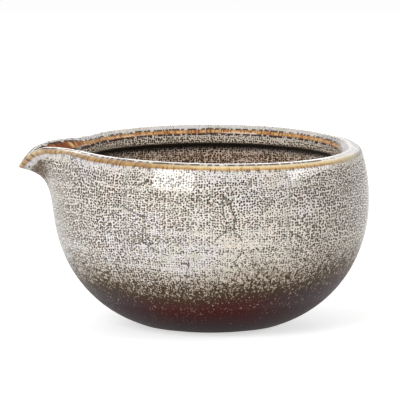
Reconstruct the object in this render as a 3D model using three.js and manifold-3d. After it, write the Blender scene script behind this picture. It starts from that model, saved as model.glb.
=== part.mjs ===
// A spouted stoneware tea bowl: three clay pieces under six fields of glaze.
// Millimetres and degrees, +Z up. The spout points to -X, and the foot stands on Z = 0.
import * as THREE from "three";
import { mergeVertices } from "three/addons/utils/BufferGeometryUtils.js";
import Module from "manifold-3d";

// Body
const bodyRadius = 65.4; // outside, at the belly
const bellyHeight = 52.2;
const bodyOvershoot = 2.4; // how far under the ground the outside curve would close
const bodyFullness = 2.52; // 2 is an ellipse, more is squarer
const shoulderTuck = 3.3; // how far the wall leans in between the belly and the lip
const shoulderCurve = 2.4;
const wallThickness = 5.6; // glaze and clay together, at the belly
const floorThickness = 5.5; // above the foot ring
const insideFullness = 2.5;

// Lip
const rimHeight = 75.9; // its crest
const lipWidth = 8.3; // from its outer edge to its inner edge
const lipOuterDrop = 1.5; // below the crest
const lipInnerDrop = 2.6;
const lipCrestInset = 4.6; // from the outer edge
const lipFaceDepth = 5; // height of the lip's inner face
const lipEdgeRound = 1.5;
const lipCrestRound = 1.4;
const underLipRise = 1.6; // how much the underside falls towards the wall
const underLipReach = 5.2; // from the inner face to the wall
const underLipRound = 2.4;
const rimSway = 1; // how much the near half of the rim falls from the spout to the far end
const rimDip = 0.6; // and how much lower both its ends lie than its middle

// Foot
const footInset = 2.3; // inside the glaze's lower edge
const footWidth = 9.1;
const footBevelWidth = 4.1;
const footBevelHeight = 1;
const footSeat = 1.5; // how far the ring reaches up behind the glaze's lower edge

// Glaze
const coat = 0.6;
const bond = 0.3; // clearance between a coat and the clay, and between clay pieces
const coatGap = 0.3; // between two fields of glaze, along the surface
const bareHeight = 1.2; // where the glaze stops above the ground
const ironTopHeight = 13.5; // where the grey glaze starts over the iron glaze

// Spout
const spoutReach = 18.4; // how far the lip is pulled out
const spoutHalfAngle = 23;
const spoutSharpness = 2.1;
const tipBluntAngle = 3.4;
const spoutDepth = 33; // below the lip's outer edge, where the pull starts
const spoutSweep = 2.8; // how late the wall follows the pull, going up
const beakShare = 0.45; // share of the pull that only the lip takes
const beakSweep = 9;
const spoutThinning = 0.9; // how much of the lip inside its crest the pull takes away
const spoutSag = 3; // how much the whole spout hangs
const spoutSagAngle = 14;
const tipDroop = 5.3; // how much further its tip hangs
const tipTilt = 2.4; // and the tip's outer edge
const tipDroopAngle = 4.5;
const droopSweep = 1.4;
const edgeLift = 1.4; // how much the lip's outer edge rises towards the spout
const edgeLiftAngle = 28;
const channelLift = 4.2; // how much its inner edge rises in the channel
const channelAngle = 20.4; // where the inner edge turns into the channel
const channelRun = 16; // the angle over which it rises
const edgeSweep = 6; // how little of these lifts reaches below the lip
const spoutPieceAngle = 25; // each side, the clay spout's own share of the wall
const spoutPieceDepth = 22; // its lower joint, below the lip's outer edge

// Fineness
const columns = 56;
const columnGather = 0.72; // how much the columns crowd towards the spout
const outsideSteps = 7;
const ironSteps = 3;
const insideSteps = 7;
const stepGather = 1.35; // how much the steps crowd towards the foot
const roundSteps = 2;

const clamp = THREE.MathUtils.clamp;
const radians = THREE.MathUtils.degToRad;

const bodyDepth = bellyHeight + bodyOvershoot;
const lipOuterRadius = bodyRadius - shoulderTuck;
const lipOuterHeight = rimHeight - lipOuterDrop;
const lipCrestRadius = lipOuterRadius - lipCrestInset;
const lipInnerRadius = lipOuterRadius - lipWidth;
const lipInnerHeight = rimHeight - lipInnerDrop;
const footHeight = bareHeight + footSeat;
const undersideHeight = footHeight + bond;
const floorHeight = undersideHeight + floorThickness;
const spoutStartHeight = lipOuterHeight - spoutDepth;

// The outside of the glazed wall: radius at a height.
function outsideRadius(z) {
  if (z <= bellyHeight) {
    const down = (bellyHeight - z) / bodyDepth;
    return bodyRadius * (1 - down ** 2) ** (1 / bodyFullness);
  }
  const up = (z - bellyHeight) / (lipOuterHeight - bellyHeight);
  return bodyRadius - shoulderTuck * up ** shoulderCurve;
}

// The inside of the glazed wall, from the floor up to the belly.
function insideRadius(z) {
  const down = (bellyHeight - z) / (bellyHeight - floorHeight);
  return (bodyRadius - wallThickness) * (1 - down ** 2) ** (1 / insideFullness);
}

// A corner rounded by a curve that starts and ends one round away from it.
function rounded(before, corner, after, round) {
  const middle = new THREE.Vector2(...corner);
  const start = new THREE.Vector2(...before).sub(middle).setLength(round).add(middle);
  const end = new THREE.Vector2(...after).sub(middle).setLength(round).add(middle);
  const curve = new THREE.QuadraticBezierCurve(start, middle, end);
  return curve.getPoints(roundSteps).map((p) => p.toArray());
}

// Heights from low to high, closer together at the low end, where the curve turns fastest.
function heights(low, high, steps) {
  return Array.from({ length: steps + 1 }, (_, i) => low + (high - low) * (i / steps) ** stepGather);
}

// The glazed surface in radius and height, from the foot over the lip to the middle of the floor.
// Each field of glaze starts where the one before it ends.
function surface() {
  const outerEdge = [lipOuterRadius, lipOuterHeight];
  const crest = [lipCrestRadius, rimHeight];
  const innerEdge = [lipInnerRadius, lipInnerHeight];
  const faceFoot = [lipInnerRadius, lipInnerHeight - lipFaceDepth];
  const underWall = [lipInnerRadius + underLipReach, faceFoot[1] - underLipRise];
  const belly = [bodyRadius - wallThickness, bellyHeight];

  const wallTop = lipOuterHeight - lipEdgeRound;
  const iron = heights(bareHeight, ironTopHeight, ironSteps).map((z) => [outsideRadius(z), z]);
  const wall = heights(ironTopHeight, wallTop, outsideSteps).map((z) => [outsideRadius(z), z]);
  const outerLine = [wall.at(-1), ...rounded(wall.at(-1), outerEdge, crest, lipEdgeRound).slice(1)];
  const innerLine = rounded(crest, innerEdge, faceFoot, lipEdgeRound);
  const lipTop = [outerLine.at(-1), ...rounded(outerEdge, crest, innerEdge, lipCrestRound), innerLine[0]];
  const underLip = [
    ...rounded(innerEdge, faceFoot, underWall, lipEdgeRound),
    ...rounded(faceFoot, underWall, belly, underLipRound),
  ];
  const lining = heights(floorHeight, bellyHeight, insideSteps).reverse().map((z) => [insideRadius(z), z]);
  return { iron, wall, outerLine, lipTop, innerLine, inside: [innerLine.at(-1), ...underLip, ...lining] };
}

// The whole surface as one line of stations, and the first and last station of each field.
// Station 0 is on the axis, in the middle of the bare underside.
function joined(fields) {
  const line = [[0, bareHeight], fields.iron[0]];
  const span = {};
  for (const [name, points] of Object.entries(fields)) {
    const first = line.length - 1;
    line.push(...points.slice(1));
    span[name] = [first, line.length - 1];
  }
  return { line, span };
}

// A bell over an angle from the spout's middle.
function bell(off, width) {
  return Math.exp(-((off / width) ** 2));
}

// How the pull of the spout moves a point of the plain round bowl.
function pulled(radius, angle, height) {
  const off = THREE.MathUtils.radToDeg(Math.abs(Math.PI - angle));
  const rise = clamp((height - spoutStartHeight) / spoutDepth, 0, 1);
  const inward = clamp((lipOuterRadius - radius) / lipWidth, 0, 1);
  const onEdge = clamp((radius - lipCrestRadius) / lipCrestInset, 0, 1);
  const inChannel = clamp((channelAngle - off) / channelRun, 0, 1);

  const blunted = Math.hypot(off, tipBluntAngle) - tipBluntAngle;
  const plan = Math.max(1 - blunted / spoutHalfAngle, 0) ** spoutSharpness;
  const pull = (1 - beakShare) * rise ** spoutSweep + beakShare * rise ** beakSweep;
  const thinned = spoutThinning * rise * Math.max(lipCrestRadius - radius, 0);
  const out = radius + plan * (spoutReach * pull + thinned);

  const sag = spoutSag * bell(off, spoutSagAngle) * rise ** droopSweep;
  const droop = tipDroop * bell(off, tipDroopAngle) * rise ** droopSweep;
  const lift = edgeLift * bell(off, edgeLiftAngle) * onEdge + channelLift * inChannel * inward;
  const tilt = tipTilt * bell(off, tipDroopAngle) * onEdge;
  const near = (1 - Math.sin(angle)) / 2;
  const sway = -(rimSway * Math.cos(angle) + rimDip * Math.cos(angle) ** 2) * near * rise;
  const up = height - sag - droop + (lift - tilt) * rise ** edgeSweep + sway;
  return new THREE.Vector3(out * Math.cos(angle), out * Math.sin(angle), up);
}

const { line, span } = joined(surface());

// The angles of the columns, which crowd where the spout is.
const angles = Array.from({ length: columns }, (_, i) => {
  const turn = (i * 2 * Math.PI) / columns;
  return turn + columnGather * Math.sin(turn);
});
const face = angles.map((angle) => line.map(([radius, height]) => pulled(radius, angle, height)));

// A point of the glazed surface moved into the wall, square to the surface.
function sunk(column, station, depth) {
  const before = face[(column + columns - 1) % columns][station];
  const after = face[(column + 1) % columns][station];
  const low = face[column][Math.max(station - 1, 0)];
  const high = face[column][Math.min(station + 1, line.length - 1)];
  const round = after.clone().sub(before);
  const out = high.clone().sub(low);
  if (line[station][0] > 0) out.crossVectors(round, out).normalize();
  else out.set(0, 0, 1);
  return face[column][station].clone().addScaledVector(out, -depth);
}

// The place on the line that lies half a coat gap past a station, towards the next one.
function past(station, direction) {
  const [r0, z0] = line[station];
  const [r1, z1] = line[station + direction];
  return station + (direction * coatGap) / 2 / Math.hypot(r1 - r0, z1 - z0);
}

// Only the positions, with shared vertices merged and triangles of no area left out.
function closed(geometry) {
  geometry.deleteAttribute("normal");
  geometry.deleteAttribute("uv");
  const merged = mergeVertices(geometry, 1e-3);
  const kept = [];
  for (let i = 0; i < merged.index.count; i += 3) {
    const corners = [0, 1, 2].map((k) => merged.index.getX(i + k));
    if (new Set(corners).size === 3) kept.push(...corners);
  }
  return merged.setIndex(kept);
}

// A closed ring of [place, depth] pairs, taken round the bowl. A place is a station or between two.
// Every face is split along the same diagonal of the wall, so that layers stay one distance apart.
function turned(ring) {
  const position = [];
  const index = [];
  angles.forEach((_, column) => {
    ring.forEach(([place, depth], i) => {
      const station = Math.floor(place);
      const point = sunk(column, station, depth);
      if (place > station) point.lerp(sunk(column, station + 1, depth), place - station);
      position.push(...point);

      const here = column * ring.length;
      const beside = ((column + 1) % columns) * ring.length;
      const next = (i + 1) % ring.length;
      const [a, b, c, d] = [here + i, beside + i, beside + next, here + next];
      index.push(...(ring[next][0] < place ? [a, b, c, a, c, d] : [a, b, d, b, c, d]));
    });
  });
  const geometry = new THREE.BufferGeometry();
  geometry.setAttribute("position", new THREE.Float32BufferAttribute(position, 3));
  return closed(geometry.setIndex(index));
}

const wasm = await Module();
wasm.setup();

function solid(geometry) {
  const vertProperties = geometry.getAttribute("position").array;
  const triVerts = new Uint32Array(geometry.index.array);
  return new wasm.Manifold(new wasm.Mesh({ numProp: 3, vertProperties, triVerts }));
}

function geometryOf(manifold) {
  const mesh = manifold.getMesh();
  return new THREE.BufferGeometry()
    .setAttribute("position", new THREE.BufferAttribute(mesh.vertProperties, 3))
    .setIndex(new THREE.BufferAttribute(mesh.triVerts, 1));
}

// The room that the clay spout takes out of the wall, or that room and a clearance round it.
function spoutRoom(clearance) {
  const half = radians(spoutPieceAngle);
  const corner = (reach, side) =>
    new THREE.Vector2(-reach * Math.cos(half), side * (reach * Math.sin(half) + clearance / Math.cos(half)));
  const near = bodyRadius / 2;
  const far = 2 * (bodyRadius + spoutReach);
  const plan = new THREE.Shape([corner(far, -1), corner(near, -1), corner(near, 1), corner(far, 1)]);
  const base = lipOuterHeight - spoutPieceDepth - clearance;
  const wedge = new THREE.ExtrudeGeometry(plan, { depth: rimHeight, bevelEnabled: false });
  return solid(closed(wedge.translate(0, 0, base)));
}

// The clay under all the glaze, cut flat underneath, where the foot ring is set on.
function clayUnderGlaze() {
  const whole = solid(turned(line.map((_, station) => [station, coat + bond])));
  const width = 4 * bodyRadius;
  const below = new THREE.BoxGeometry(width, width, width);
  return whole.subtract(solid(closed(below.translate(0, 0, undersideHeight - width / 2))));
}

// One field of glaze: its face, and its back one coat further in.
function glazeField([first, last]) {
  const places = [past(first, 1)];
  for (let station = first + 1; station < last; station++) places.push(station);
  places.push(line[last][0] > 0 ? past(last, -1) : last);
  const back = places.toReversed().map((place) => [place, coat]);
  return turned([...places.map((place) => [place, 0]), ...back]);
}

function footRing() {
  const outer = outsideRadius(bareHeight) - footInset;
  const inner = outer - footWidth;
  const outline = [
    [inner, 0],
    [outer - footBevelWidth, 0],
    [outer, footBevelHeight],
    [outer, footHeight],
    [inner, footHeight],
    [inner, 0],
  ];
  const points = outline.map(([r, z]) => new THREE.Vector2(r, z));
  return closed(new THREE.LatheGeometry(points, columns).rotateX(Math.PI / 2));
}

function piece(name, geometry, color, roughness) {
  const mesh = new THREE.Mesh(geometry, new THREE.MeshStandardMaterial({ color, roughness, metalness: 0 }));
  mesh.name = name;
  return mesh;
}

function glaze(name, field, color, roughness) {
  return piece(name, glazeField(span[field]), color, roughness);
}

const clay = clayUnderGlaze();
const bowl = new THREE.Group();
bowl.add(
  piece("bowl_body", geometryOf(clay.subtract(spoutRoom(bond))), 0x8a7562, 0.9),
  piece("pouring_spout", geometryOf(clay.intersect(spoutRoom(0))), 0x8a7562, 0.9),
  piece("foot_ring", footRing(), 0x9a8470, 0.95),
  glaze("iron_glaze", "iron", 0x3d2024, 0.15),
  glaze("wall_glaze", "wall", 0xb3aca3, 0.2),
  glaze("outer_edge_line", "outerLine", 0xb8803c, 0.2),
  glaze("lip_glaze", "lipTop", 0xbab5b0, 0.2),
  glaze("inner_edge_line", "innerLine", 0xa8702f, 0.2),
  glaze("inside_glaze", "inside", 0x9c9186, 0.25),
);

// The origin lies under the middle of the whole bowl, spout included.
const box = new THREE.Box3().setFromObject(bowl);
bowl.position.x = -(box.min.x + box.max.x) / 2;

export default bowl;
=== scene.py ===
# A spouted stoneware tea bowl, dressed round its CAD frame.
# Objects are in metres. The bowl's own sizes are in millimetres and degrees, measured from its axis.
import math

import bmesh
import bpy
import numpy as np
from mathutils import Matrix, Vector


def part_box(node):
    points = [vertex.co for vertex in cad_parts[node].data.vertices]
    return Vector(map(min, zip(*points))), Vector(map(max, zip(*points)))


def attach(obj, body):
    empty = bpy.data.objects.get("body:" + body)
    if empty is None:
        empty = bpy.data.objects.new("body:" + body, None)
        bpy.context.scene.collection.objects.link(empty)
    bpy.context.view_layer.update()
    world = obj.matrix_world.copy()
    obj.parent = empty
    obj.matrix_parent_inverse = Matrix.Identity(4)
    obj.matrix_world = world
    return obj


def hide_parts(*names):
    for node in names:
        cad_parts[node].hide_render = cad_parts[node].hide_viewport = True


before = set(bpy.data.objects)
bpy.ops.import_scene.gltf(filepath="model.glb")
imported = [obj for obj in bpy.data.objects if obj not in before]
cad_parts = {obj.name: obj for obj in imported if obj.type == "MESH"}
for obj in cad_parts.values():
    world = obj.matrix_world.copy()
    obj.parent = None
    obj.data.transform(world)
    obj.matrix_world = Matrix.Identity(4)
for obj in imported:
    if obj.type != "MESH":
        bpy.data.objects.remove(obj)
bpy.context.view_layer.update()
print("frame loaded")

mm = 0.001
footLow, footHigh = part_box("foot_ring")
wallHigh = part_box("wall_glaze")[1]
axisX = (footLow.x + footHigh.x) / 2  # metres; the spout pushes the round body off the origin

# The bowl as it is thrown, before its spout is pulled.
body = {
    "radius": wallHigh.y / mm,
    "bellyHeight": 52.2,
    "overshoot": 2.4,  # how far under the ground the outside curve would close
    "fullness": 2.52,
    "shoulderTuck": 3.3,
    "shoulderCurve": 2.4,
    "wall": 5.6,
    "floorHeight": 8.5,
    "insideFullness": 2.5,
}
lip = {
    "height": 75.9,
    "width": 8.3,
    "outerDrop": 1.5,
    "innerDrop": 2.6,
    "crestInset": 4.6,
    "faceDepth": 5.0,
    "edgeRound": 1.5,
    "crestRound": 1.6,
    "underRise": 1.6,
    "underReach": 5.2,
    "underRound": 2.4,
}
foot = {
    "inner": 17.5,
    "outer": footHigh.y / mm,
    "height": footHigh.z / mm,
    "bevelWidth": 4.1,
    "bevelHeight": 1.0,
    "innerRound": 0.5,
    "bevelRound": 1.2,
    "sideRound": 0.6,
    "hiddenRound": 0.1,  # of its two upper edges, behind the glaze
}
coats = {"thickness": 0.6, "bond": 0.3, "bareHeight": 1.2, "ironTopHeight": 13.5}

# How the spout is pulled out of the rim, and the traces of the wheel. These are the inputs of the
# node tree that shapes every piece.
pull = {
    "reach": 18.15,
    "halfAngle": 23.0,
    "sharpness": 2.1,
    "tipBluntAngle": 3.4,
    "depth": 33.0,  # below the lip's outer edge, where the pull starts
    "sweep": 2.8,
    "beakShare": 0.45,
    "beakSweep": 9.0,
    "thinning": 0.9,
    "sag": 3.0,
    "sagAngle": 14.0,
    "tipDroop": 5.3,
    "tipTilt": 2.4,
    "tipDroopAngle": 4.5,
    "droopSweep": 1.4,
    "edgeLift": 1.4,
    "edgeLiftAngle": 28.0,
    "channelLift": 4.2,
    "channelAngle": 20.4,
    "channelRun": 16.0,
    "edgeSweep": 6.0,
    "rimSway": 1.0,  # how much the near half of the rim falls from the spout to the far end
    "rimDip": 0.6,  # and how much lower both its ends lie than its middle
    "throwingDepth": 0.1,  # of the rings that the potter's fingers leave
    "throwingRise": 5.0,  # from one ring to the next
    "spiralDepth": 0.25,  # of the spiral in the middle of the floor
    "spiralPitch": 6.5,
    "spiralRadius": 24.0,
    "seed": 7.0,
}
fineness = {
    "columns": 400,
    "clayColumns": 240,
    "gather": 0.72,  # how much the columns crowd towards the spout
    "sharpAngle": 40,
    "ironSteps": 26,  # along the outline, for each part of it
    "wallSteps": 44,
    "shoulderSteps": 26,
    "edgeSteps": 10,
    "crestSteps": 8,
    "upperInsideSteps": 14,
    "liningSteps": 70,
    "undersideSteps": 24,
    "footRoundSteps": 6,
}
noEdge = 99.0  # given as the distance from the lip's edges on the clay pieces

lipOuterRadius = body["radius"] - body["shoulderTuck"]
lipOuterHeight = lip["height"] - lip["outerDrop"]
lipCrestRadius = lipOuterRadius - lip["crestInset"]
lipInnerRadius = lipOuterRadius - lip["width"]
bodyDepth = body["bellyHeight"] + body["overshoot"]
undersideHeight = foot["height"] + coats["bond"]


# A number or a vector inside a node tree, with plain arithmetic.
class Wire:
    def __init__(self, socket):
        self.socket = socket
        self.tree = socket.id_data

    def __add__(self, other):
        return calculate(self.tree, "ADD", self, other)

    def __radd__(self, other):
        return calculate(self.tree, "ADD", other, self)

    def __sub__(self, other):
        return calculate(self.tree, "SUBTRACT", self, other)

    def __rsub__(self, other):
        return calculate(self.tree, "SUBTRACT", other, self)

    def __mul__(self, other):
        return calculate(self.tree, "MULTIPLY", self, other)

    def __rmul__(self, other):
        return calculate(self.tree, "MULTIPLY", other, self)

    def __truediv__(self, other):
        return calculate(self.tree, "DIVIDE", self, other)

    def __pow__(self, other):
        return calculate(self.tree, "POWER", self, other)

    def __neg__(self):
        return calculate(self.tree, "MULTIPLY", self, -1.0)

    def do(self, operation, *others):
        return calculate(self.tree, operation, self, *others)

    def upTo(self, high):
        return calculate(self.tree, "MINIMUM", self, high)

    def atLeast(self, low):
        return calculate(self.tree, "MAXIMUM", self, low)

    # 0 at one value, 1 at the other, and an S-curve in between
    def between(self, zero, one):
        node = self.tree.nodes.new("ShaderNodeMapRange")
        node.interpolation_type = "SMOOTHSTEP"
        for slot, value in zip(node.inputs[:3], (self, zero, one)):
            plug(value, slot)
        return Wire(node.outputs[0])


def plug(value, slot):
    if isinstance(value, Wire):
        slot.id_data.links.new(value.socket, slot)
    elif isinstance(value, tuple) and len(slot.default_value) == 4:
        slot.default_value = (*value, 1.0)
    else:
        slot.default_value = value


def calculate(tree, operation, *values):
    node = tree.nodes.new("ShaderNodeMath")
    node.operation = operation
    for slot, value in zip(node.inputs, values):
        plug(value, slot)
    return Wire(node.outputs[0])


def newNode(tree, kind, settings=None, **inputs):
    node = tree.nodes.new(kind)
    for name, value in (settings or {}).items():
        setattr(node, name, value)
    for name, value in inputs.items():
        plug(value, node.inputs[name.replace("_", " ")])
    return node


def vectorOf(tree, x, y, z):
    return Wire(newNode(tree, "ShaderNodeCombineXYZ", X=x, Y=y, Z=z).outputs[0])


def partsOf(vector):
    node = newNode(vector.tree, "ShaderNodeSeparateXYZ", Vector=vector)
    return [Wire(output) for output in node.outputs]


def moved(vector, operation, amount):
    node = newNode(vector.tree, "ShaderNodeVectorMath", {"operation": operation})
    plug(vector, node.inputs[0])
    plug(amount, node.inputs["Scale"] if operation == "SCALE" else node.inputs[1])
    return Wire(node.outputs[0])


def noise(vector, size, detail=2.0, seed=0.0, rough=0.5):
    node = newNode(
        vector.tree, "ShaderNodeTexNoise", {"noise_dimensions": "4D"},
        Vector=vector, W=seed, Scale=1 / size, Detail=detail, Roughness=rough,
    )
    return Wire(node.outputs[0])


# The tree that pulls the spout out of a turned piece and leaves the marks of the wheel on it.
# It works on millimetres from the axis: a radius, a direction and a height.
def wheelTree():
    tree = bpy.data.node_groups.new("thrownAndPulled", "GeometryNodeTree")
    tree.interface.new_socket(name="Geometry", in_out="OUTPUT", socket_type="NodeSocketGeometry")
    tree.interface.new_socket(name="Geometry", in_out="INPUT", socket_type="NodeSocketGeometry")
    identifiers = {}
    for name, value in pull.items():
        socket = tree.interface.new_socket(name=name, in_out="INPUT", socket_type="NodeSocketFloat")
        socket.default_value = value
        identifiers[name] = socket.identifier
    socket = tree.interface.new_socket(name="finish", in_out="INPUT", socket_type="NodeSocketMaterial")
    identifiers["finish"] = socket.identifier

    entry = tree.nodes.new("NodeGroupInput")
    given = {name: Wire(entry.outputs[name]) for name in pull}
    place = Wire(tree.nodes.new("GeometryNodeInputPosition").outputs[0])
    x, y, height = partsOf(moved(moved(place, "SUBTRACT", (axisX, 0, 0)), "SCALE", 1 / mm))
    radius = (x * x + y * y).do("SQRT")
    eastward = x / radius.atLeast(1e-6)
    northward = y / radius.atLeast(1e-6)
    off = y.do("ABSOLUTE").do("ARCTAN2", -x) * math.degrees(1)

    rise = ((height - (lipOuterHeight - given["depth"])) / given["depth"]).atLeast(0).upTo(1)
    inward = ((lipOuterRadius - radius) / lip["width"]).atLeast(0).upTo(1)
    onEdge = ((radius - lipCrestRadius) / lip["crestInset"]).atLeast(0).upTo(1)
    inChannel = ((given["channelAngle"] - off) / given["channelRun"]).atLeast(0).upTo(1)

    def bell(width):
        return (-((off / width) ** 2)).do("EXPONENT")

    blunt = given["tipBluntAngle"]
    blunted = (off * off + blunt * blunt).do("SQRT") - blunt
    plan = (1 - blunted / given["halfAngle"]).atLeast(0) ** given["sharpness"]
    late = given["beakShare"] * rise ** given["beakSweep"]
    pulled = (1 - given["beakShare"]) * rise ** given["sweep"] + late
    thinned = given["thinning"] * rise * (lipCrestRadius - radius).atLeast(0)
    out = radius + plan * (given["reach"] * pulled + thinned)

    hang = given["sag"] * bell(given["sagAngle"]) + given["tipDroop"] * bell(given["tipDroopAngle"])
    lift = given["edgeLift"] * bell(given["edgeLiftAngle"]) * onEdge
    lift = lift + given["channelLift"] * inChannel * inward
    lift = lift - given["tipTilt"] * bell(given["tipDroopAngle"]) * onEdge
    sway = given["rimSway"] * eastward + given["rimDip"] * eastward * eastward
    sway = sway * (1 - northward) * rise / -2
    up = height - hang * rise ** given["droopSweep"] + lift * rise ** given["edgeSweep"] + sway

    # Rings on the wall, and a spiral on the floor alone
    turns = vectorOf(tree, eastward * 1.5, northward * 1.5, height / given["throwingRise"])
    rings = noise(turns, 1.0, 2.0, given["seed"])
    out = (out - given["throwingDepth"] * rings).atLeast(0)
    turned = northward.do("ARCTAN2", eastward) / (2 * math.pi)
    spiral = ((radius / given["spiralPitch"] - turned) * 2 * math.pi).do("SINE")
    onFloor = height.between(5, 8) * height.between(22, 14)
    onFloor = onFloor * radius.between(given["spiralRadius"], given["spiralRadius"] / 2)
    up = up + given["spiralDepth"] * spiral * onFloor * radius.between(0, given["spiralPitch"])

    flat = moved(vectorOf(tree, out * eastward, out * northward, up), "SCALE", mm)
    shaped = newNode(tree, "GeometryNodeSetPosition", Position=moved(flat, "ADD", (axisX, 0, 0)))
    real = tree.nodes.new("GeometryNodeRealizeInstances")
    finished = tree.nodes.new("GeometryNodeSetMaterial")
    leave = tree.nodes.new("NodeGroupOutput")
    tree.links.new(entry.outputs["Geometry"], shaped.inputs["Geometry"])
    tree.links.new(shaped.outputs[0], real.inputs[0])
    tree.links.new(real.outputs[0], finished.inputs["Geometry"])
    tree.links.new(entry.outputs["finish"], finished.inputs["Material"])
    tree.links.new(finished.outputs[0], leave.inputs[0])
    return tree, identifiers


# Outlines, as lists of (radius, height)

def outsideRadius(z):
    down = (body["bellyHeight"] - z) / bodyDepth
    return body["radius"] * (1 - down**2) ** (1 / body["fullness"])


# The outside up to the belly, in even steps of the curve's own angle
def lowerOutside(low, high, steps):
    turn = [math.acos((body["bellyHeight"] - z) / bodyDepth) for z in (low, high)]
    heights = body["bellyHeight"] - bodyDepth * np.cos(np.linspace(*turn, steps + 1))
    return [(outsideRadius(z), z) for z in heights]


def upperOutside(high, steps):
    heights = np.linspace(body["bellyHeight"], high, steps + 1)
    rise = (heights - body["bellyHeight"]) / (lipOuterHeight - body["bellyHeight"])
    return list(zip(body["radius"] - body["shoulderTuck"] * rise ** body["shoulderCurve"], heights))


# From the belly down the inside to the middle of the floor
def lining(steps):
    turn = np.linspace(math.pi / 2, 0, steps + 1)
    depth = body["bellyHeight"] - body["floorHeight"]
    radius = (body["radius"] - body["wall"]) * np.sin(turn) ** (2 / body["insideFullness"])
    return list(zip(radius, body["bellyHeight"] - depth * np.cos(turn)))


def rounded(before, corner, after, reach, steps):
    before, corner, after = (np.array(place) for place in (before, corner, after))
    start = corner + (before - corner) * reach / np.linalg.norm(before - corner)
    end = corner + (after - corner) * reach / np.linalg.norm(after - corner)
    share = np.linspace(0, 1, steps + 1)[:, None]
    curve = (1 - share) ** 2 * start + 2 * share * (1 - share) * corner + share**2 * end
    return [tuple(place) for place in curve]


def straight(start, end, steps):
    share = np.linspace(0, 1, steps + 1)[:, None]
    return [tuple(place) for place in np.array(start) * (1 - share) + np.array(end) * share]


# The glazed surface from the foot over the lip to the middle of the floor, in its six fields.
# Each field starts where the one before it ends.
def glazeFields():
    outerEdge = (lipOuterRadius, lipOuterHeight)
    crest = (lipCrestRadius, lip["height"])
    innerEdge = (lipInnerRadius, lip["height"] - lip["innerDrop"])
    faceFoot = (lipInnerRadius, innerEdge[1] - lip["faceDepth"])
    underWall = (lipInnerRadius + lip["underReach"], faceFoot[1] - lip["underRise"])
    belly = (body["radius"] - body["wall"], body["bellyHeight"])

    iron = lowerOutside(coats["bareHeight"], coats["ironTopHeight"], fineness["ironSteps"])
    wall = lowerOutside(coats["ironTopHeight"], body["bellyHeight"], fineness["wallSteps"])
    wall += upperOutside(lipOuterHeight - lip["edgeRound"], fineness["shoulderSteps"])[1:]
    edgeSteps = fineness["edgeSteps"]
    outer = rounded(wall[-1], outerEdge, crest, lip["edgeRound"], edgeSteps)
    inner = rounded(crest, innerEdge, faceFoot, lip["edgeRound"], edgeSteps)
    crestRound = rounded(outerEdge, crest, innerEdge, lip["crestRound"], fineness["crestSteps"])
    top = straight(outer[-1], crestRound[0], 3)[:-1] + crestRound
    top += straight(crestRound[-1], inner[0], 6)[1:]
    faceRound = rounded(innerEdge, faceFoot, underWall, lip["edgeRound"], edgeSteps)
    wallRound = rounded(faceFoot, underWall, belly, lip["underRound"], edgeSteps)
    inside = straight(inner[-1], faceRound[0], 5)[:-1] + faceRound
    inside += straight(faceRound[-1], wallRound[0], 3)[1:-1] + wallRound
    inside += straight(wallRound[-1], belly, fineness["upperInsideSteps"])[1:-1]
    inside += lining(fineness["liningSteps"])
    return {"iron": iron, "wall": wall, "outer": outer, "top": top, "inner": inner, "inside": inside}


fields = glazeFields()
outline = [fields["iron"][0]]
spans = {}
for field, points in fields.items():
    spans[field] = (len(outline) - 1, len(outline) + len(points) - 2)
    outline += points[1:]
outline = np.array(outline)
outline[-1, 0] = 0.0
alongOutline = np.concatenate([[0], np.cumsum(np.linalg.norm(np.diff(outline, axis=0), axis=1))])


def middleOf(field):
    first, last = spans[field]
    return (alongOutline[first] + alongOutline[last]) / 2


fromOuterEdge = middleOf("outer") - alongOutline  # positive down the outside
fromInnerEdge = alongOutline - middleOf("inner")  # positive down the inside

heading = np.gradient(outline, axis=0)
heading /= np.linalg.norm(heading, axis=1)[:, None]
squareOut = np.column_stack([heading[:, 1], -heading[:, 0]])


# The outline moved into the wall
def sunk(depth):
    line = outline - squareOut * depth
    line[:, 0] = np.maximum(line[:, 0], 0)
    line[-1, 0] = 0.0
    return line


# A closed ring of (radius, height, from the outer edge, from the inner edge) turned into a mesh
def turnedMesh(name, ring, columns):
    ring = np.array(ring)
    count = len(ring)
    turn = np.arange(columns) * 2 * math.pi / columns
    angle = turn + fineness["gather"] * np.sin(turn)
    radius = ring[None, :, 0] * mm
    places = np.stack(
        [
            axisX + radius * np.cos(angle)[:, None],
            radius * np.sin(angle)[:, None],
            np.broadcast_to(ring[None, :, 1] * mm, (columns, count)),
        ],
        axis=2,
    ).reshape(-1, 3)
    here = np.arange(columns)[:, None] * count
    beside = (np.arange(columns)[:, None] + 1) % columns * count
    step = np.arange(count)[None, :]
    following = (step + 1) % count
    corners = [here + step, beside + step, beside + following, here + following]
    faces = np.stack(np.broadcast_arrays(*corners), axis=2).reshape(-1, 4)

    mesh = bpy.data.meshes.new(name)
    mesh.from_pydata(places.tolist(), [], faces.tolist())
    offSpout = np.degrees(np.abs(math.pi - angle % (2 * math.pi)))
    values = {
        "fromOuterEdge": np.tile(ring[:, 2], columns),
        "fromInnerEdge": np.tile(ring[:, 3], columns),
        "fromSpout": np.repeat(offSpout, count),
    }
    for key, value in values.items():
        mesh.attributes.new(key, "FLOAT", "POINT").data.foreach_set("value", value.astype(np.float32))
    work = bmesh.new()
    work.from_mesh(mesh)
    bmesh.ops.remove_doubles(work, verts=work.verts, dist=1e-7)
    bmesh.ops.dissolve_degenerate(work, edges=work.edges, dist=1e-8)
    work.to_mesh(mesh)
    work.free()
    return mesh


def coatRing(field):
    first, last = spans[field]
    span = slice(first, last + 1)
    front = np.column_stack([outline, fromOuterEdge, fromInnerEdge])[span]
    back = np.column_stack([sunk(coats["thickness"]), fromOuterEdge, fromInnerEdge])[span]
    return np.concatenate([front, back[::-1]])


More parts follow.
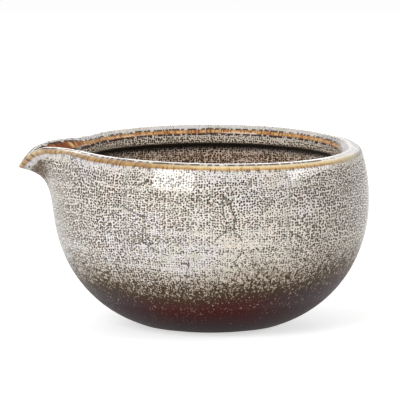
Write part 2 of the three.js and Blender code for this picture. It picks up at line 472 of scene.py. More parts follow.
def clayRing():
    line = sunk(coats["thickness"] + coats["bond"])
    start = int(np.argmax(line[:, 1] > undersideHeight))
    line = line[start:]
    middle = (0, undersideHeight)
    under = straight(middle, (line[0, 0], undersideHeight), fineness["undersideSteps"])
    points = np.concatenate([line, np.array(under)])
    return np.column_stack([points, np.full((len(points), 2), noEdge)])


def footRing():
    inner, outer, height = foot["inner"], foot["outer"], foot["height"]
    bevel = (outer - foot["bevelWidth"], 0)
    side = (outer, foot["bevelHeight"])
    corners = [(inner, 0), bevel, side, (outer, height), (inner, height)]
    rounds = [foot[key] for key in ("innerRound", "bevelRound", "sideRound", "hiddenRound", "hiddenRound")]
    points = []
    for i, (corner, reach) in enumerate(zip(corners, rounds)):
        following = corners[(i + 1) % len(corners)]
        points += rounded(corners[i - 1], corner, following, reach, fineness["footRoundSteps"])
    return np.column_stack([points, np.full((len(points), 2), noEdge)])


# Plain mesh in place of live modifiers, smooth apart from the edges of the coats
def settle(piece):
    graph = bpy.context.evaluated_depsgraph_get()
    mesh = bpy.data.meshes.new_from_object(piece.evaluated_get(graph), depsgraph=graph)
    piece.modifiers.clear()
    piece.data = mesh
    work = bmesh.new()
    work.from_mesh(mesh)
    for face in work.faces:
        face.smooth = True
    sharp = math.radians(fineness["sharpAngle"])
    for edge in work.edges:
        edge.smooth = len(edge.link_faces) == 2 and edge.calc_face_angle() < sharp
    work.to_mesh(mesh)
    work.free()


thrown, inputs = wheelTree()


def shapedPiece(name, ring, material, columns):
    piece = bpy.data.objects.new(name, turnedMesh(name, ring, columns))
    bpy.context.collection.objects.link(piece)
    modifier = piece.modifiers.new("thrown", "NODES")
    modifier.node_group = thrown
    for key, value in pull.items():
        modifier[inputs[key]] = value
    modifier[inputs["finish"]] = material
    settle(piece)
    return piece


def keep(piece, node):
    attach(piece, "root")
    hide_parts(node)


# Materials. Points are in millimetres from the bowl's axis.

def pointOf(tree):
    place = Wire(tree.nodes.new("ShaderNodeTexCoord").outputs["Object"])
    return moved(moved(place, "SUBTRACT", (axisX, 0, 0)), "SCALE", 1 / mm)


def attribute(tree, name):
    return Wire(newNode(tree, "ShaderNodeAttribute", {"attribute_name": name}).outputs["Fac"])


def mixed(share, first, second):
    node = newNode(share.tree, "ShaderNodeMix", {"data_type": "RGBA"})
    for slot, value in ((0, share), (6, first), (7, second)):
        plug(value, node.inputs[slot])
    return Wire(node.outputs[2])


def blended(share, first, second):
    return first + share * (second - first)


# Distance to the nearest cell point or border, and a random colour for each cell
def cells(vector, size, feature="F1", dimensions="3D", randomness=1.0):
    node = newNode(
        vector.tree, "ShaderNodeTexVoronoi", {"feature": feature, "voronoi_dimensions": dimensions},
        Vector=vector, Scale=1 / size, Randomness=randomness,
    )
    return Wire(node.outputs["Distance"]), Wire(node.outputs["Color"]) if feature == "F1" else None


# Each noise has a seed of its own: its place in this list, from 1.
seedNames = (
    "wide", "medium", "small", "grain", "rows", "cracked", "crackBreaks", "ticks",
    "tone", "sage", "sand", "clayPatch", "veins", "dashes", "drips", "streaks",
)
seeds = {name: place + 1 for place, name in enumerate(seedNames)}
# Where a zone of the glaze begins and where it is full
zones = {
    "outside": (-0.5, 0.5),  # millimetres down from the outer edge
    "underOuterLine": (4, 2),
    "slopeTop": (-5.5, -4.5),
    "slopeFoot": (0.5, -0.5),
    "crest": (1.6, 0.4),  # millimetres to either side of the lip's crest
    "lipOuter": (-4, -5),
    "lipInner": (0, -1),
    "faceTop": (1.5, 2.5),  # millimetres down from the inner edge
    "faceFoot": (6, 5),
    "lining": (8, 14),
    "nearSpout": (100, 40),  # degrees from the spout
    "farEnd": (138, 160),
    "beakWidth": (14, 6),
    "besideBeak": (14, 30),
    "beakTop": (1.7, 3.2),  # millimetres down from the outer edge
    "beakFoot": (15, 7),
    "ends": (24, 42),  # millimetres along X, to either side of the axis
}
patches = {"wide": 34.0, "medium": 7.0}  # sizes of the noise that all layers share
ash = {
    "mottleSize": 0.8,  # of the fine grain between the pits
    "sageSize": 4.0,
    "cream": (0.84, 0.73, 0.59),
    "lavender": (0.77, 0.73, 0.75),
    "sage": (0.62, 0.60, 0.45),
    "milk": (0.97, 0.94, 0.90),
    "straw": (0.17, 0.11, 0.045),
    "toast": (0.50, 0.37, 0.235),
    "dusk": (0.44, 0.42, 0.43),  # of the lip at its far end
    # The next colour darkens the glaze under the spout's beak: painted shade.
    "beakShade": (0.16, 0.115, 0.08),  # under the beak
    "bark": (0.50, 0.38, 0.25),  # where the far side has browned
    "barkStart": 34.0,  # how far along +X that begins
    "barkFull": 50.0,
    "barkWander": 24.0,
    "roughness": 0.3,
    "gloss": 0.5,
}
# How much of each tint the ash glaze takes
shares = {
    "sage": 0.8,
    "bark": 0.62,
    "straw": 0.5,
    "strawAtBark": 0.3,
    "strawNearSpout": 0.25,
    "strawOnLip": -0.4,
    "milk": 0.7,
    "rims": 0.55,
    "stains": 0.6,
    "run": 0.8,
    # Milk-white along the crest: a painted highlight.
    "crest": 0.8,
    "face": 0.6,
    "dusk": 0.75,
    "crack": 0.8,
    "crackInPit": 0.15,
    # The last share is for the painted shade under the lip.
    "underLipShade": 0.96,
}
grains = {
    "size": 0.72,
    "softness": 0.035,
    "halfHeight": 24.5,  # where half of the ash glaze is left
    "fade": 0.015,  # how fast it thins out, for each millimetre
    "drift": 9.0,  # how far wide patches wander up and down, and medium ones half as far
    "dripSize": 2.6,
    "dripLength": 7.0,
    "sideRise": 6.0,  # how much higher the iron glaze comes up at both ends
    "tilt": 0.045,  # how much further down the ash glaze comes towards the spout
    "underBeak": 0.5,
    "tail": 0.43,  # how much slower the last grains thin out
    "tailStart": 0.6,
}
pits = {
    "spacing": 1.1,
    "coarseSpacing": 1.24,
    "size": 0.352,  # in spacings, as all the sizes below are
    "largest": 0.43,
    "sizeSpread": 0.22,
    "raggedness": 0.13,
    "larger": {"rows": 0.5, "medium": 0.45, "bark": 0.13, "nearSpout": 0.11, "face": 0.07},
    "smaller": {"low": 0.05, "run": 0.25, "slope": 0.3, "underLine": 0.2, "lip": 0.2},
    "lowStart": 44.0,  # height under which they begin to get smaller
    "lowFull": 34.0,
    "rimStart": 0.34,  # how far beyond the pit its pale rim begins
    "rimFull": 0.16,
    "softness": 0.04,  # millimetres
    "strength": 0.84,
    "strengthSpread": 0.5,
    "strengthInRows": 1.5,
    "strengthAtBark": 0.35,
    "scatter": 0.62,  # how far the pits leave their rows
    "flatness": 1.15,  # how much wider than high they are
    "sway": 11.0,  # how far their rows wander up and down
    "rowPitch": 2.4,
    "holeSpacing": 2.1,  # of the larger holes
    "holeSize": 0.2,
    "black": (0.020, 0.010, 0.004),
    "umber": (0.070, 0.032, 0.008),
    "olive": (0.085, 0.055, 0.008),
    "rust": (0.14, 0.05, 0.014),
    "roughness": 0.5,
}
iron = {
    "brown": (0.055, 0.030, 0.014),
    "oxblood": (0.060, 0.006, 0.005),
    # plum: partly the glaze's own tone, partly a painted sheen towards both sides
    "plum": (0.040, 0.024, 0.028),
    "black": (0.014, 0.004, 0.006),
    "brownHeight": 21.0,
    "oxbloodHeight": 14.0,
    "blackHeight": 2.5,
    "plumStart": 12.0,  # how far from the middle, along X, the oxblood begins to turn into plum
    "plumFull": 44.0,
    "wander": 40.0,
}
crackle = {
    "size": 12.0,
    "stretch": 0.65,
    "width": 0.018,
    "patchSize": 12.0,
    "breakSize": 1.6,
    "colour": (0.03, 0.016, 0.006),
}
edges = {
    "halfWidth": 1.35,
    "lineWidth": 1.7,  # of the inner line
    "spoutWidth": 0.05,  # how much wider the outer line gets towards the spout
    "shift": 0.45,  # towards the crest
    # pale: a painted highlight, on the outer line's lip side and in the channel
    "pale": (0.95, 0.75, 0.41),
    "ochre": (0.56, 0.29, 0.07),
    "gold": (0.80, 0.50, 0.19),
    "honey": (0.74, 0.55, 0.31),
    "bronze": (0.30, 0.15, 0.04),
    "orange": (0.50, 0.175, 0.022),
    "umber": (0.05, 0.016, 0.005),
    "burnt": (0.24, 0.06, 0.008),
    "tickSpacing": 1.0,
    "dashLength": 1.5,
    "toneLength": 3.0,
    "streakLength": 1.7,
    "channelWidth": 0.8,  # added in the spout's channel, on the inner side
    "runLength": 3.6,  # of the pale run under the line
}
within = {
    # The near-black band under the lip is painted shade, where the undercut's shadow falls.
    "underLipShadeStart": 4.5,
    "underLipShadeEnd": 10.4,
    "underLipShade": (0.005, 0.003, 0.002),
    "shade": (0.80, 0.64, 0.52),
    "vein": (0.24, 0.17, 0.10),
    "veinSize": 1.1,
}


# What every layer of the glaze reads. A point is in millimetres from the bowl's axis, outer and inner
# are millimetres down from the lip's two edges, and aside is degrees from the spout.
class Spot:
    def __init__(self, tree):
        self.tree = tree
        self.point = pointOf(tree)
        self.x, self.y, self.height = partsOf(self.point)
        self.outer = attribute(tree, "fromOuterEdge")
        self.inner = attribute(tree, "fromInnerEdge")
        self.aside = attribute(tree, "fromSpout")
        self.around = self.y.do("ARCTAN2", -self.x) * body["radius"]

        # Noise in patches, from 0 to 1
        self.wide = noise(self.point, patches["wide"], 3, seeds["wide"])
        self.medium = noise(self.point, patches["medium"], 4, seeds["medium"])
        self.small = noise(self.point, ash["mottleSize"], 3, seeds["small"], 0.65)
        layers = moved(self.point, "MULTIPLY", (0.05, 0.05, 1.0))
        self.rows = noise(layers, pits["rowPitch"], 2, seeds["rows"])
        along = vectorOf(tree, self.around, self.outer * 0.2, 0.0)
        self.ticks = noise(along, edges["tickSpacing"], 2, seeds["ticks"])
        self.dashes = noise(along, edges["dashLength"], 2, seeds["dashes"])
        self.tone = noise(along, edges["toneLength"], 3, seeds["tone"])
        self.streaks = noise(along, edges["streakLength"], 3, seeds["streaks"])

        # Zones, 0 outside them and 1 inside
        self.outside = self.outer.between(*zones["outside"])
        self.nearSpout = self.aside.between(*zones["nearSpout"])
        self.farEnd = self.aside.between(*zones["farEnd"])
        bark = self.x + (self.medium - 0.5) * ash["barkWander"]
        self.browned = bark.between(ash["barkStart"], ash["barkFull"]) * self.outside
        ends = self.x.do("ABSOLUTE").between(*zones["ends"])
        self.ends = ends * self.aside.between(*zones["besideBeak"]) * self.outside
        self.onFace = self.inner.between(*zones["faceTop"]) * self.inner.between(*zones["faceFoot"])
        self.onLip = self.outer.between(*zones["lipOuter"]) * self.inner.between(*zones["lipInner"])
        self.farLip = self.farEnd * self.outer.between(1.5, 0.5) * self.inner.between(0.5, -0.5)
        beak = self.outer.between(*zones["beakTop"]) * self.outer.between(*zones["beakFoot"])
        self.underBeak = self.aside.between(*zones["beakWidth"]) * beak
        fromCrest = (self.outer + lip["crestInset"]).do("ABSOLUTE")
        self.onCrest = fromCrest.between(*zones["crest"])
        run = (self.outer + (self.medium - 0.5) * 8).between(edges["runLength"], 1.0)
        self.run = run * self.outside * self.nearSpout
        self.wander = (self.medium - 0.5) * (0.8 + self.nearSpout)


# Towards the foot the ash glaze is broken into grains, with the iron glaze between them. Under the
# beak it has run off in the same way, which also darkens it there as painted shade.
def brokenGlaze(spot):
    drips = noise(moved(spot.point, "MULTIPLY", (1, 1, 0.25)), grains["dripSize"], 2, seeds["drips"])
    drift = (spot.wide - 0.5) * grains["drift"] + (spot.medium - 0.5) * grains["drift"] * 0.5
    level = spot.height - spot.x * spot.x * (grains["sideRise"] / body["radius"] ** 2)
    level = level - spot.x * grains["tilt"] + drift
    limit = 0.5 + grains["fade"] * (grains["halfHeight"] - level - (drips - 0.5) * grains["dripLength"])
    tail = (limit - grains["tailStart"]).atLeast(0) * grains["tail"]
    limit = limit.upTo(grains["tailStart"]) + tail
    limit = blended(spot.outside, 0.1, limit.atLeast(spot.underBeak * grains["underBeak"]))
    drawnOut = moved(spot.point, "MULTIPLY", (1, 1, 0.55))
    grain = noise(drawnOut, grains["size"], 3, seeds["grain"], 0.6)
    soft = grains["softness"]
    return grain.between(limit - soft, limit + soft), limit, level


# One layer of pinholes: the pits, the pale rims round them and a random number for each
def pitLayer(spot, laid, spacing, size):
    distance, random = cells(laid, spacing, "F1", "2D", pits["scatter"])
    chance, depth, side = partsOf(random)
    ragged = distance + (spot.small - 0.5) * pits["raggedness"]
    size = (size + (chance - 0.5) * pits["sizeSpread"]).upTo(pits["largest"])
    soft = pits["softness"] / spacing
    strength = pits["strength"] + pits["strengthSpread"] * depth
    strength = strength + pits["strengthInRows"] * (spot.rows - 0.5)
    strength = (strength + pits["strengthAtBark"] * spot.browned).upTo(1).atLeast(0)
    pit = ragged.between(size + soft, size - soft) * strength
    return pit, ragged.between(size + pits["rimStart"], size + pits["rimFull"]), side


# Larger holes here and there in rows, and the brown stain round each. Where there is one, the pits
# stay away.
def largeHoles(spot, laid):
    distance, random = cells(laid, pits["holeSpacing"], "F1", "2D")
    chance = partsOf(random)[0]
    wanted = (spot.rows + (chance - 0.5) * 0.25).between(0.52, 0.62)
    size = pits["holeSize"] * wanted * spot.outer.between(5, 8) * spot.outside
    ragged = distance + (spot.small - 0.5) * 0.14
    hole = ragged.between(size + 0.02, size - 0.04)
    there = size.between(0.02, 0.06)
    stain = ragged.between(size + 0.16, size + 0.02) * there
    return hole, stain, ragged.between(size + 0.2, size + 0.1) * there


# Pinholes: fine ones all over, and coarser ones towards both ends
def pinholes(spot):
    swayed = spot.outer * pits["flatness"] + (spot.wide - 0.5) * pits["sway"]
    laid = vectorOf(spot.tree, spot.around, swayed, 0.0)
    larger = pits["larger"]
    smaller = pits["smaller"]
    size = pits["size"] + (spot.rows - 0.5) * larger["rows"] + (spot.medium - 0.5) * larger["medium"]
    size = size + larger["bark"] * spot.browned + larger["nearSpout"] * spot.nearSpout
    size = size + larger["face"] * spot.onFace
    underLine = spot.outer.between(*zones["underOuterLine"]) * spot.outside
    onSlope = spot.outer.between(*zones["slopeTop"]) * spot.outer.between(*zones["slopeFoot"])
    low = spot.height.between(pits["lowStart"], pits["lowFull"]) * spot.outside
    size = size - smaller["low"] * low - smaller["run"] * spot.run - smaller["slope"] * onSlope
    size = size - smaller["underLine"] * underLine - smaller["lip"] * spot.onLip
    fine = pitLayer(spot, laid, pits["spacing"], size)
    coarse = pitLayer(spot, laid, pits["coarseSpacing"], size)
    share = (spot.ends + (spot.small - 0.5) * 0.5).between(0.3, 0.7)
    pit, rim, side = (blended(share, first, second) for first, second in zip(fine, coarse))

    hole, stain, cleared = largeHoles(spot, laid)
    pit = pit * (1 - cleared)
    colour = mixed(side.between(0.35, 0.65), pits["umber"], pits["black"])
    colour = mixed(side.between(0.7, 0.9), colour, pits["olive"])
    colour = mixed(hole, colour, pits["black"])
    rusty = side.between(0.25, 0.05) * spot.medium.between(0.45, 0.6)
    colour = mixed(rusty, colour, pits["rust"])
    return pit.do("MAXIMUM", hole), rim, stain, colour


def ashColour(spot, limit, rim, stain):
    colour = mixed(spot.wide.between(0.4, 0.6), ash["cream"], ash["lavender"])
    sage = noise(spot.point, ash["sageSize"], 3, seeds["sage"]).between(0.48, 0.62)
    colour = mixed(sage * shares["sage"], colour, ash["sage"])
    colour = mixed(spot.browned * shares["bark"], colour, ash["bark"])
    straw = shares["straw"] + shares["strawAtBark"] * spot.browned
    straw = straw + shares["strawNearSpout"] * spot.nearSpout + shares["strawOnLip"] * spot.onLip
    colour = mixed(spot.small.between(0.5, 0.6) * straw, colour, ash["straw"])
    colour = mixed(spot.small.between(0.46, 0.36) * shares["milk"], colour, ash["milk"])
    colour = mixed(rim * shares["rims"], colour, ash["milk"])
    colour = mixed(stain * shares["stains"], colour, ash["straw"])
    colour = mixed(spot.run * shares["run"], colour, ash["lavender"])
    # Milk-white along the lip's crest: a painted highlight.
    colour = mixed(spot.onCrest * shares["crest"] * (1 - spot.farEnd), colour, ash["milk"])
    colour = mixed(spot.onFace * shares["face"], colour, ash["cream"])
    colour = mixed(spot.farLip * shares["dusk"], colour, ash["dusk"])
    colour = mixed(limit.between(0.3, 0.7), colour, ash["toast"])
    # Darker under the beak: painted shade under the spout.
    colour = mixed(spot.underBeak * (spot.medium * 2 - 0.45), colour, ash["beakShade"])
    veins = noise(spot.point, within["veinSize"], 3, seeds["veins"]).between(0.47, 0.58)
    veined = mixed(veins, within["shade"], within["vein"])
    return mixed(spot.inner.between(*zones["lining"]), colour, veined)


# Brown where it shows between the grains, oxblood below them in the middle turning plum towards both
# sides, nearly black at the foot. The plum is partly the glaze's own tone and partly a painted sheen.
def ironColour(spot, level):
    fromMiddle = (spot.x + (spot.wide - 0.5) * iron["wander"]).do("ABSOLUTE")
    red = mixed(fromMiddle.between(iron["plumFull"], iron["plumStart"]), iron["plum"], iron["oxblood"])
    below = level.between(iron["brownHeight"], iron["oxbloodHeight"])
    atFoot = spot.height.between(iron["oxbloodHeight"], iron["blackHeight"])
    colour = mixed(below, iron["brown"], red)
    colour = mixed(atFoot, colour, iron["black"])
    # The iron glaze is darkened under the beak as well: painted shade.
    return mixed(spot.underBeak * 0.8, colour, ash["beakShade"])


# Long brown cracks, here and there, mostly upright
def crackleLines(spot):
    bend = vectorOf(spot.tree, spot.wide * 14, spot.medium * 2, spot.medium * 2)
    bent = moved(moved(spot.point, "MULTIPLY", (1, 1, crackle["stretch"])), "ADD", bend)
    gap = cells(bent, crackle["size"], "DISTANCE_TO_EDGE")[0] + (spot.small - 0.5) * 0.02
    cracked = noise(spot.point, crackle["patchSize"], 2, seeds["cracked"])
    cracked = cracked.between(0.53 - 0.07 * spot.browned, 0.57)
    breaks = noise(spot.point, crackle["breakSize"], 2, seeds["crackBreaks"])
    line = gap.between(crackle["width"], crackle["width"] / 2)
    return line * cracked * breaks.between(0.36, 0.44) * spot.outside * spot.outer.between(3, 8)


# The amber line on the outer edge of the lip, pale on its lip side as a painted highlight, with dark ticks
# and a broken dark hem on each side.
# Across the line, -1 is its edge on the lip and 1 its edge on the wall. Also returns where it is dull.
def outerLine(spot, colour):
    half = edges["halfWidth"] * (1 + edges["spoutWidth"] * spot.nearSpout)
    across = (spot.outer + edges["shift"] + spot.wander) / half
    # Pale towards the lip, where it is a painted highlight, and changing in tone along the line
    amber = mixed(across.between(-0.2, 0.9) + (spot.tone - 0.5) * 2, edges["pale"], edges["ochre"])
    streaked = mixed(spot.streaks.between(0.42, 0.6), edges["honey"], edges["bronze"])
    golden = mixed(spot.streaks.between(0.42, 0.56), edges["ochre"], edges["bronze"])
    pastBend = spot.aside.between(22, 32)
    streaked = mixed(pastBend, streaked, golden)
    streaked = mixed(across.between(0.0, 1.1) * 0.7, streaked, edges["bronze"])
    amber = mixed(spot.aside.between(95, 60) * 0.85, amber, streaked)
    nearBend = pastBend * spot.aside.between(75, 55)
    ticked = across.between(-0.2, 0.6) + spot.nearSpout * 0.25 + nearBend * 0.4
    ticked = (spot.ticks.between(0.52, 0.64) * ticked).upTo(1)
    amber = mixed(ticked * 0.8, amber, edges["umber"])
    amber = mixed(spot.aside.between(140, 160) * 0.6, amber, ash["sage"])
    there = across.do("ABSOLUTE").between(1.35, 0.85) * spot.aside.between(174, 160)
    colour = mixed(there, colour, amber)
    hem = across.between(-2.05, -1.8) * across.between(-0.85, -1.0)
    dull = hem * spot.dashes.between(0.4, 0.5) * (1 - spot.farEnd)
    colour = mixed(dull * 0.9, colour, edges["umber"])
    hem = across.between(2.0, 1.5) * across.between(0.7, 1.0) * spot.aside.between(150, 130)
    hem = hem * (0.3 + 0.7 * spot.aside.between(8, 30))
    return mixed(hem * spot.ticks.between(0.5, 0.58) * 0.8, colour, edges["umber"]), dull


# The one on the inner edge, which turns into a burnt patch in the spout's channel
def innerLine(spot, colour):
    channel = spot.aside.between(28, 8)
    reach = channel * edges["channelWidth"] / 2
    half = edges["lineWidth"] / 2
    away = ((spot.inner - reach + spot.wander).do("ABSOLUTE") - reach) / half
    amber = mixed(spot.tone.between(0.4, 0.6), edges["gold"], edges["orange"])
    amber = mixed(away.between(0.0, 0.8) * 0.7, amber, edges["orange"])
    amber = mixed(channel * spot.streaks.between(0.42, 0.56), amber, edges["burnt"])
    amber = mixed(spot.aside.between(13, 5) * 0.8, amber, edges["burnt"])
    # A pale streak along the channel's band: a painted highlight.
    gleam = channel * spot.aside.between(9, 16) * away.between(-0.1, -0.6)
    gleam = gleam * spot.tone.between(0.56, 0.44)
    amber = mixed(gleam * 0.8, amber, edges["pale"])
    amber = mixed(spot.ticks.between(0.54, 0.62) * 0.8, amber, edges["umber"])
    there = spot.aside.between(171, 161)
    colour = mixed(away.between(1.2, 0.8) * there, colour, amber)
    below = channel * spot.inner.between(0, 1)
    hem = away.between(2.2 + 1.2 * below, 1.6 + 0.8 * below) * away.between(0.7, 1.0) * there
    broken = (spot.dashes + 0.15 * below).between(0.44, 0.5)
    dull = channel * spot.inner.between(-1.5, -0.5) * 0.6
    return mixed(hem * broken, colour, edges["umber"]), dull


# One node group for the whole glaze, so that its fields flow into each other
def glazeGroup():
    tree = bpy.data.node_groups.new("bowlGlaze", "ShaderNodeTree")
    results = {"Color": "Color", "Roughness": "Float", "Height": "Float", "Gloss": "Float"}
    for name, kind in results.items():
        tree.interface.new_socket(name=name, in_out="OUTPUT", socket_type="NodeSocket" + kind)
    spot = Spot(tree)

    left, limit, level = brokenGlaze(spot)
    pit, rim, stain, pitColour = pinholes(spot)
    whole = (1 - pit) * left
    colour = mixed(pit, ashColour(spot, limit, rim, stain), pitColour)
    colour = mixed(left, ironColour(spot, level), colour)
    cracks = crackleLines(spot) * left
    colour = mixed(cracks * (shares["crack"] + shares["crackInPit"] * pit), colour, crackle["colour"])
    colour, dullHem = outerLine(spot, colour)
    colour, dullChannel = innerLine(spot, colour)
    # Painted shade: a near-black band under the lip's undercut, without gloss.
    underLipShade = spot.inner.between(within["underLipShadeStart"], within["underLipShadeStart"] + 1.2)
    underLipShade = underLipShade * (spot.inner + spot.wander).between(within["underLipShadeEnd"] + 2.4, within["underLipShadeEnd"] - 1)
    colour = mixed(underLipShade * shares["underLipShade"], colour, within["underLipShade"])

    roughness = blended(whole, pits["roughness"], ash["roughness"])
    gloss = blended(spot.outside, 1.0, spot.height.between(8, 38)) * ash["gloss"]
    gloss = gloss * (0.3 + 0.7 * left) * (0.9 + 0.1 * whole) + spot.onCrest * 0.4
    gloss = gloss * (1 - underLipShade) * (1 - dullHem.do("MAXIMUM", dullChannel)) * (1 - spot.farLip * 0.85)
    relief = whole - cracks * 0.5
    leave = tree.nodes.new("NodeGroupOutput")
    for slot, value in zip(leave.inputs, (colour, roughness, relief, gloss)):
        plug(value, slot)
    return tree


glazeTree = glazeGroup()


def newMaterial(name, baseColour):
    material = bpy.data.materials.new(name)
    material.use_nodes = True
    material.diffuse_color = (*baseColour, 1)
    tree = material.node_tree
    return material, tree, tree.nodes["Principled BSDF"]


def addRelief(tree, shader, height, strength, depth):
    relief = newNode(tree, "ShaderNodeBump", Height=height)
    relief.inputs["Strength"].default_value = strength
    relief.inputs["Distance"].default_value = depth * mm
    tree.links.new(relief.outputs[0], shader.inputs["Normal"])


glazeFinish = {
    "coatRoughness": 0.06,
    "coatIndex": 1.8,
    "reliefStrength": 0.36,
    "reliefDepth": 0.06,
}


def glazeMaterial(name, baseColour, specular):
    material, tree, shader = newMaterial(name, baseColour)
    look = newNode(tree, "ShaderNodeGroup", {"node_tree": glazeTree})
    height = Wire(look.outputs["Height"])
    addRelief(tree, shader, height, glazeFinish["reliefStrength"], glazeFinish["reliefDepth"])
    for result, slot in (("Color", "Base Color"), ("Roughness", "Roughness"), ("Gloss", "Coat Weight")):
        tree.links.new(look.outputs[result], shader.inputs[slot])
    shader.inputs["Specular IOR Level"].default_value = specular
    shader.inputs["Coat Roughness"].default_value = glazeFinish["coatRoughness"]
    shader.inputs["Coat IOR"].default_value = glazeFinish["coatIndex"]
    return material


clay = {
    "body": (0.34, 0.26, 0.19),
    "pale": (0.52, 0.42, 0.31),
    "speck": (0.06, 0.035, 0.02),
    "grain": 0.4,
    "patchSize": 9.0,
    "speckSpacing": 2.2,
    "turningPitch": 1.4,
    "reliefStrength": 0.6,
    "reliefDepth": 0.15,
}


# Bare stoneware: sandy, with dark iron specks and the fine rings of the turning tool
def clayMaterial(name):
    material, tree, shader = newMaterial(name, clay["body"])
    point = pointOf(tree)
    x, y = partsOf(point)[:2]
    radius = (x * x + y * y).do("SQRT")
    sand = noise(point, clay["grain"], 4, seeds["sand"])
    patch = noise(point, clay["patchSize"], 3, seeds["clayPatch"])
    speck = cells(point, clay["speckSpacing"])[0].between(0.2, 0.12)
    colour = mixed(patch.between(0.35, 0.7), clay["body"], clay["pale"])
    colour = mixed(sand.between(0.3, 0.75) * 0.45, colour, clay["pale"])
    colour = mixed(speck * 0.8, colour, clay["speck"])
    rings = (radius / clay["turningPitch"] * 2 * math.pi + patch * 3).do("SINE")
    worn = rings * 0.4 + sand * 0.8 - speck
    addRelief(tree, shader, worn, clay["reliefStrength"], clay["reliefDepth"])
    plug(colour, shader.inputs["Base Color"])
    plug(0.75 + sand * 0.2, shader.inputs["Roughness"])
    return material


clayBare = clayMaterial("bareStoneware")
print("materials made")

# Each piece's name, its field, the node that it replaces, that node's slot, its plain colour and how
# strongly the glaze under its glossy coat reflects
glazePieces = (
    ("ironGlaze", "iron", "iron_glaze", "iron_glaze", iron["oxblood"], 0.06),
    ("wallGlaze", "wall", "wall_glaze", "speckled_ash_glaze", ash["cream"], 0.1),
    ("outerEdgeLine", "outer", "outer_edge_line", "amber_edge_glaze", edges["ochre"], 0.1),
    ("lipGlaze", "top", "lip_glaze", "lip_ash_glaze", ash["lavender"], 0.1),
    ("innerEdgeLine", "inner", "inner_edge_line", "amber_edge_glaze", edges["ochre"], 0.1),
    ("insideGlaze", "inside", "inside_glaze", "inside_ash_glaze", within["shade"], 0.1),
)
for name, field, node, slot, baseColour, specular in glazePieces:
    finish = glazeMaterial(name + "Finish", baseColour, specular)
    keep(shapedPiece(name, coatRing(field), finish, fineness["columns"]), node)
print("glaze laid on")

spoutCut = {
    "halfAngle": 25.0,
    "base": 52.4,
    "top": 130.0,
    "near": 32.0,  # from the axis
    "far": 175.0,
}


# The wedge of wall that the clay spout takes up, with a clearance round it
def wedge(name, clearance):
    half = math.radians(spoutCut["halfAngle"])
    widen = clearance / math.cos(half)
    plan = []
    for reach, side in (("far", -1), ("near", -1), ("near", 1), ("far", 1)):
        reach = spoutCut[reach]
        plan.append((-reach * math.cos(half), side * (reach * math.sin(half) + widen)))
    work = bmesh.new()
    ends = []
    for level in (spoutCut["base"] - clearance, spoutCut["top"]):
        ends.append([work.verts.new((axisX + x * mm, y * mm, level * mm)) for x, y in plan])
    low, high = ends
    work.faces.new(low)
    work.faces.new(high[::-1])
    for i in range(len(plan)):
        j = (i + 1) % len(plan)
        work.faces.new((low[j], low[i], high[i], high[j]))
    bmesh.ops.recalc_face_normals(work, faces=work.faces)
    mesh = bpy.data.meshes.new(name)
    work.to_mesh(mesh)
    work.free()
    tool = bpy.data.objects.new(name, mesh)
    bpy.context.collection.objects.link(tool)
    return tool


def clayPiece(name, node, operation, clearance):
    piece = shapedPiece(name, clayRing(), clayBare, fineness["clayColumns"])
    tool = wedge(name + "Cut", clearance)
    cut = piece.modifiers.new("cut", "BOOLEAN")
    cut.operation = operation
    cut.solver = "EXACT"
    cut.object = tool
    bpy.context.view_layer.update()
    settle(piece)
    bpy.data.objects.remove(tool)
    keep(piece, node)


clayPiece("thrownBody", "bowl_body", "DIFFERENCE", coats["bond"])
clayPiece("pulledSpout", "pouring_spout", "INTERSECT", 0.0)
turnedFoot = shapedPiece("turnedFootRing", footRing(), clayBare, fineness["clayColumns"])
keep(turnedFoot, "foot_ring")
print("clay made")

# Studio: a pale floor, a bright surround and three softboxes
studio = {
    "floorRadius": 3.0,
    "floorColour": (0.86, 0.86, 0.86),
    "floorGlow": 0.6,
    "surround": 0.4,  # the light that the white surround gives
    "boxDistance": 0.9,
    "boxAim": 0.06,  # the height that the softboxes face
    "left": {"azimuth": -26, "elevation": 23, "width": 0.48, "height": 0.42, "radiance": 7.1},
    "right": {"azimuth": 84, "elevation": 20, "width": 0.68, "height": 0.16, "radiance": 5.7},
    "back": {"azimuth": 180, "elevation": 20, "width": 0.5, "height": 0.34, "radiance": 2.2},
}


# 1 for the rays that should see plain white
def seenRay(tree):
    path = tree.nodes.new("ShaderNodeLightPath")
    names = ("Is Camera Ray", "Is Glossy Ray", "Is Transmission Ray")
    camera, glossy, through = [Wire(path.outputs[name]) for name in names]
    return camera.do("MAXIMUM", glossy).do("MAXIMUM", through)


def makeFloor():
    work = bmesh.new()
    bmesh.ops.create_circle(work, cap_ends=True, segments=96, radius=studio["floorRadius"])
    mesh = bpy.data.meshes.new("floor")
    work.to_mesh(mesh)
    work.free()
    floor = bpy.data.objects.new("floor", mesh)
    bpy.context.collection.objects.link(floor)
    material, tree, shader = newMaterial("paleFloor", studio["floorColour"])
    shader.inputs["Base Color"].default_value = (*studio["floorColour"], 1)
    shader.inputs["Roughness"].default_value = 0.9
    shader.inputs["Specular IOR Level"].default_value = 0.0
    shader.inputs["Emission Color"].default_value = (1, 1, 1, 1)
    plug(seenRay(tree) * studio["floorGlow"], shader.inputs["Emission Strength"])
    mesh.materials.append(material)


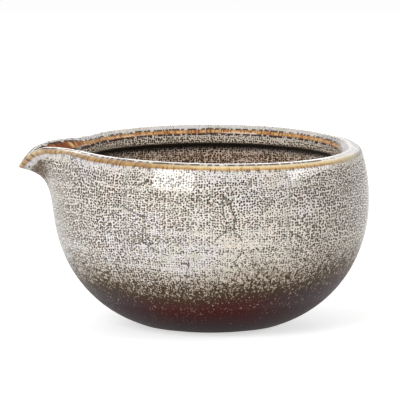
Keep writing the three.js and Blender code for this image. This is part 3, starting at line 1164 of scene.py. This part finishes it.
def makeWorld():
    world = bpy.data.worlds.new("whiteSurround")
    world.use_nodes = True
    tree = world.node_tree
    background = tree.nodes["Background"]
    background.inputs["Color"].default_value = (1, 1, 1, 1)
    plug(blended(seenRay(tree), studio["surround"], 1.0), background.inputs["Strength"])
    bpy.context.scene.world = world


# A direction given as azimuth and elevation; azimuth 0 is the camera's side, positive turns to +X
def direction(azimuth, elevation):
    turn, rise = math.radians(azimuth), math.radians(elevation)
    return Vector((math.sin(turn) * math.cos(rise), -math.cos(turn) * math.cos(rise), math.sin(rise)))


def makeSoftbox(name, box):
    light = bpy.data.lights.new(name, "AREA")
    light.shape = "RECTANGLE"
    light.size = box["width"]
    light.size_y = box["height"]
    light.energy = box["radiance"] * math.pi * box["width"] * box["height"]
    lamp = bpy.data.objects.new(name, light)
    away = direction(box["azimuth"], box["elevation"])
    lamp.location = Vector((axisX, 0, studio["boxAim"])) + away * studio["boxDistance"]
    lamp.rotation_euler = away.to_track_quat("Z", "Y").to_euler()
    lamp.visible_camera = False
    bpy.context.collection.objects.link(lamp)


# The photograph is 400 pixels square. Its camera looks down a little, from far away.
view = {
    "azimuth": 1.8,
    "elevation": 8.3,
    "distance": 6.0,
    "pixels": 400,
    "mmPerPixel": 0.4135,
    "axisColumn": 211.0,  # pixel column of the bowl's axis
    "groundRow": 324.6,  # pixel row of the foot's middle on the ground
}


def makeCamera():
    pixel = view["mmPerPixel"] * mm
    camera = bpy.data.cameras.new("camera")
    camera.sensor_width = 36
    camera.lens = camera.sensor_width * view["distance"] / (view["pixels"] * pixel)
    camera.clip_end = 50
    back = direction(view["azimuth"], view["elevation"])
    right = direction(view["azimuth"] + 90, 0)
    up = back.cross(right)
    middle = view["pixels"] / 2
    aim = Vector((axisX, 0, 0))
    aim += right * (middle - view["axisColumn"]) * pixel
    aim += up * (view["groundRow"] - middle) * pixel
    eye = bpy.data.objects.new("camera", camera)
    eye.location = aim + back * view["distance"]
    eye.rotation_euler = back.to_track_quat("Z", "Y").to_euler()
    bpy.context.collection.objects.link(eye)
    bpy.context.scene.camera = eye


makeFloor()
makeWorld()
for side in ("left", "right", "back"):
    makeSoftbox(side + "Softbox", studio[side])
makeCamera()
bpy.context.scene.view_settings.view_transform = "Standard"
print("studio set")
